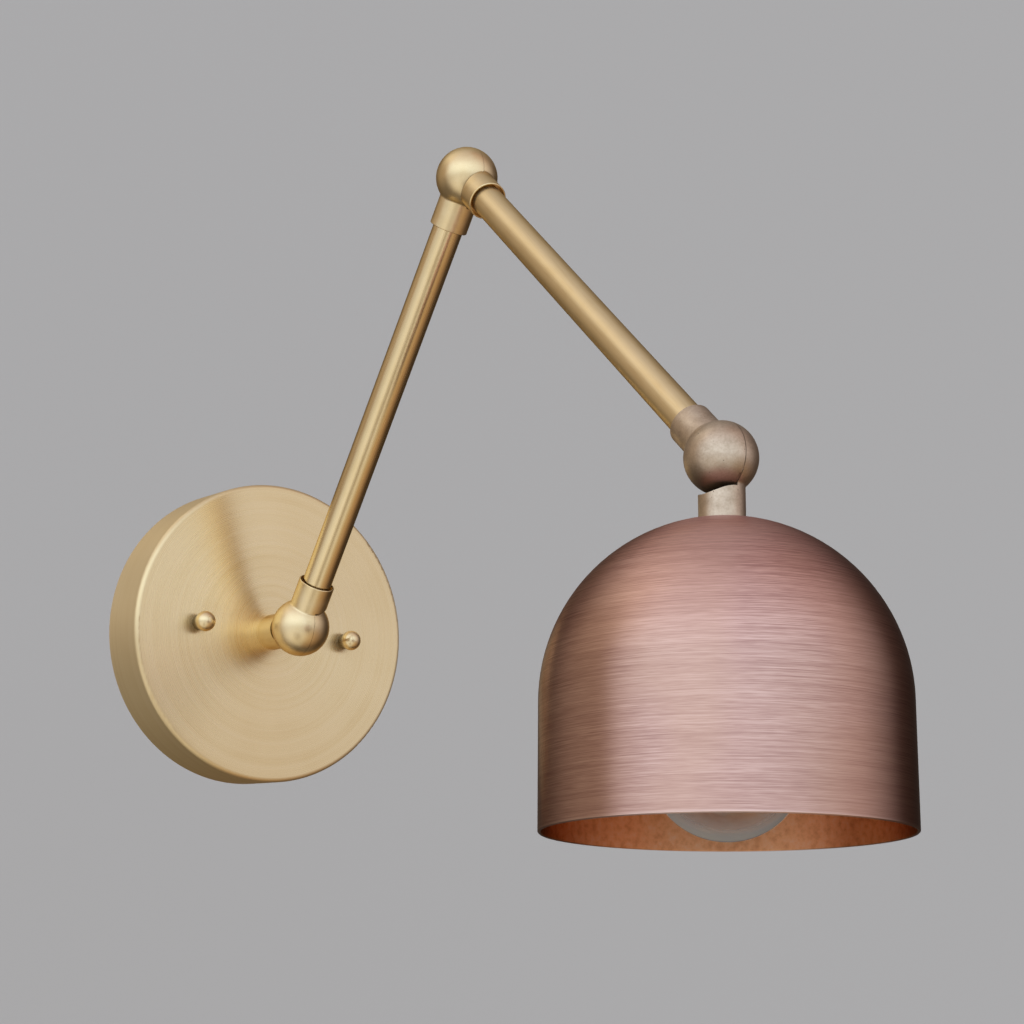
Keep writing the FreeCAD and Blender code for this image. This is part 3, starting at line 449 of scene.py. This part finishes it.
def panel(name, colour, lit, corners):
    """Plain sheet that shows on its front side only and throws no light at the lamp."""
    mesh = bpy.data.meshes.new(name)
    mesh.from_pydata(corners, [], [range(4)])
    sheet = bpy.data.objects.new(name, mesh)
    scene.collection.objects.link(sheet)
    material = bpy.data.materials.new(name)
    material.use_nodes = True
    tree = Nodes(material.node_tree)
    if lit:
        shader = material.node_tree.nodes["Principled BSDF"]
        tree.put(shader.inputs["Base Color"], colour)
        tree.put(shader.inputs["Roughness"], 0.9)
        tree.put(shader.inputs["Specular IOR Level"], 0.1)
    else:
        shader = tree.node("Emission", {"Color": colour})
    from_behind = tree.node("NewGeometry", {}).outputs["Backfacing"]
    see_through = tree.node("BsdfTransparent", {})
    shown = tree.node("MixShader", {
        0: from_behind, 1: shader.outputs[0], 2: see_through.outputs[0]})
    tree.put(material.node_tree.nodes["Material Output"].inputs["Surface"], shown.outputs[0])
    mesh.materials.append(material)
    for ray in ("diffuse", "glossy", "transmission", "shadow", "volume_scatter"):
        setattr(sheet, f"visible_{ray}", False)


panel("floor", FLOOR_GREY, True, [
    (LEFT, NEAR, FLOOR), (RIGHT, NEAR, FLOOR), (RIGHT, BACK, FLOOR), (LEFT, BACK, FLOOR)])
panel("backdrop", BACKDROP_GREY, True, [
    (LEFT, BACK, FLOOR), (RIGHT, BACK, FLOOR), (RIGHT, BACK, TOP), (LEFT, BACK, TOP)])
panel("near_side", SIDE_GREY, False, [
    (RIGHT, NEAR, FLOOR), (LEFT, NEAR, FLOOR), (LEFT, NEAR, TOP), (RIGHT, NEAR, TOP)])
panel("left_side", SIDE_GREY, False, [
    (LEFT, NEAR, FLOOR), (LEFT, BACK, FLOOR), (LEFT, BACK, TOP), (LEFT, NEAR, TOP)])
panel("right_side", SIDE_GREY, False, [
    (RIGHT, BACK, FLOOR), (RIGHT, NEAR, FLOOR), (RIGHT, NEAR, TOP), (RIGHT, BACK, TOP)])
panel("top_side", SIDE_GREY, False, [
    (LEFT, BACK, TOP), (RIGHT, BACK, TOP), (RIGHT, NEAR, TOP), (LEFT, NEAR, TOP)])


# Camera, from the photograph's view
YAW, PITCH, ROLL = math.radians(34.03), math.radians(11.061), math.radians(-2.85)
EYE = (-0.420155, -0.825148, -0.118202)
LENS = 74.584
SENSOR = 36.0
ahead = Vector((math.sin(YAW) * math.cos(PITCH), math.cos(YAW) * math.cos(PITCH), math.sin(PITCH)))
level = Vector((math.cos(YAW), -math.sin(YAW), 0))
below = ahead.cross(level)
right = math.cos(ROLL) * level + math.sin(ROLL) * below
down = -math.sin(ROLL) * level + math.cos(ROLL) * below
turn = Matrix((right, -down, -ahead)).transposed().to_4x4()
camera = bpy.data.objects.new("camera", bpy.data.cameras.new("camera"))
camera.data.lens = LENS
camera.data.sensor_width = SENSOR
camera.matrix_world = Matrix.Translation(EYE) @ turn
scene.collection.objects.link(camera)
scene.camera = camera


# Light: a soft studio, bright in front, dimmer and warmer behind on the left, dark behind on the
# right. Headings are from the photograph's front, left below zero; rises are from the horizon.
world = bpy.data.worlds.new("studio")
world.use_nodes = True
scene.world = world
sky = Nodes(world.node_tree)
direction = sky.node("TexCoord", {}).outputs["Generated"]
front = Vector((-math.sin(YAW), -math.cos(YAW), 0))
heading = sky.math("ARCTAN2", sky.vector("DOT_PRODUCT", direction, level),
                   sky.vector("DOT_PRODUCT", direction, front))
rise = sky.math("ARCSINE", sky.node("SeparateXYZ", {0: direction}).outputs["Z"])
PLAIN = (1.0, 1.0, 1.0)
OVERHEAD = (0.56, 0.54, 0.58)
LOW_RIGHT_TINT = (0.80, 0.66, 0.45)
STAND_BROWN = (0.18, 0.12, 0.06)


def by_angle(angle, reach, stops):
    """Colour or level by an angle in degrees, from -reach to reach."""
    share = sky.remap(angle, -math.radians(reach), math.radians(reach))
    return sky.ramp(share, *[
        ((at + reach) / (2 * reach), value if isinstance(value, tuple) else (value,) * 3)
        for at, value in stops])


def by_heading(*stops):
    return by_angle(heading, 180, stops)


def by_rise(*stops):
    return by_angle(rise, 90, stops)


ahead_light = by_rise(
    (-88, (0.50, 0.46, 0.38)), (-62, (0.76, 0.71, 0.61)), (-46, (0.96, 0.93, 0.85)),
    (-34, (0.92, 0.90, 0.86)), (-22, (0.88, 0.88, 0.86)), (-6, (0.74, 0.75, 0.77)),
    (12, (1.22, 1.36, 1.53)), (30, (1.24, 1.38, 1.57)), (50, (0.95, 0.96, 1.06)),
    (70, (0.72, 0.67, 0.69)), (88, (0.58, 0.53, 0.53)))
left_light = by_rise(
    (-88, (0.10, 0.08, 0.06)), (-20, (0.16, 0.13, 0.10)), (10, (0.43, 0.345, 0.26)),
    (28, (0.42, 0.335, 0.25)), (48, (0.98, 0.91, 0.81)), (88, OVERHEAD))
right_light = by_rise(
    (-88, (0.12, 0.10, 0.08)), (0, (0.045, 0.036, 0.03)), (30, (0.08, 0.066, 0.06)),
    (60, (0.30, 0.28, 0.27)), (88, OVERHEAD))
leftward = by_heading(
    (-178, 0.25), (-140, 0.3), (-120, 0.8), (-104, 1.0), (0, 1.0), (1, 0.0), (150, 0.0),
    (178, 0.25))
forward = by_heading(
    (-88, 0.0), (-82, 0.12), (-76, 0.55), (-66, 0.76), (-50, 0.93), (-35, 1.0), (-10, 0.98),
    (30, 0.84), (60, 0.68), (80, 0.54), (100, 0.27), (120, 0.0))
behind_light = sky.blend(leftward, right_light, left_light)
light = sky.blend(forward, behind_light, ahead_light)
warmth = by_heading(
    (-100, PLAIN), (-82, (1.0, 0.92, 0.86)), (-58, PLAIN), (20, PLAIN), (50, (1.0, 0.95, 0.91)),
    (80, (1.0, 0.81, 0.73)), (118, (1.0, 0.80, 0.72)), (150, PLAIN))
light = sky.blend(1.0, light, warmth, "MULTIPLY")
low_right = sky.math("MULTIPLY", by_heading((22, 0.0), (56, 1.0), (120, 1.0), (160, 0.0)),
                     by_rise((-26, 1.0), (-4, 0.0)))
light = sky.blend(low_right, light, LOW_RIGHT_TINT, "MULTIPLY")
stand = sky.math("MULTIPLY", by_heading((-28, 0.0), (-15, 1.0), (0, 1.0), (14, 0.0)),
                 by_rise((-64, 0.0), (-52, 1.0), (-36, 1.0), (-26, 0.0)))
light = sky.blend(sky.math("MULTIPLY", stand, 0.7), light, STAND_BROWN)
background = world.node_tree.nodes["Background"]
sky.put(background.inputs["Color"], light)
sky.put(background.inputs["Strength"], 1.0)
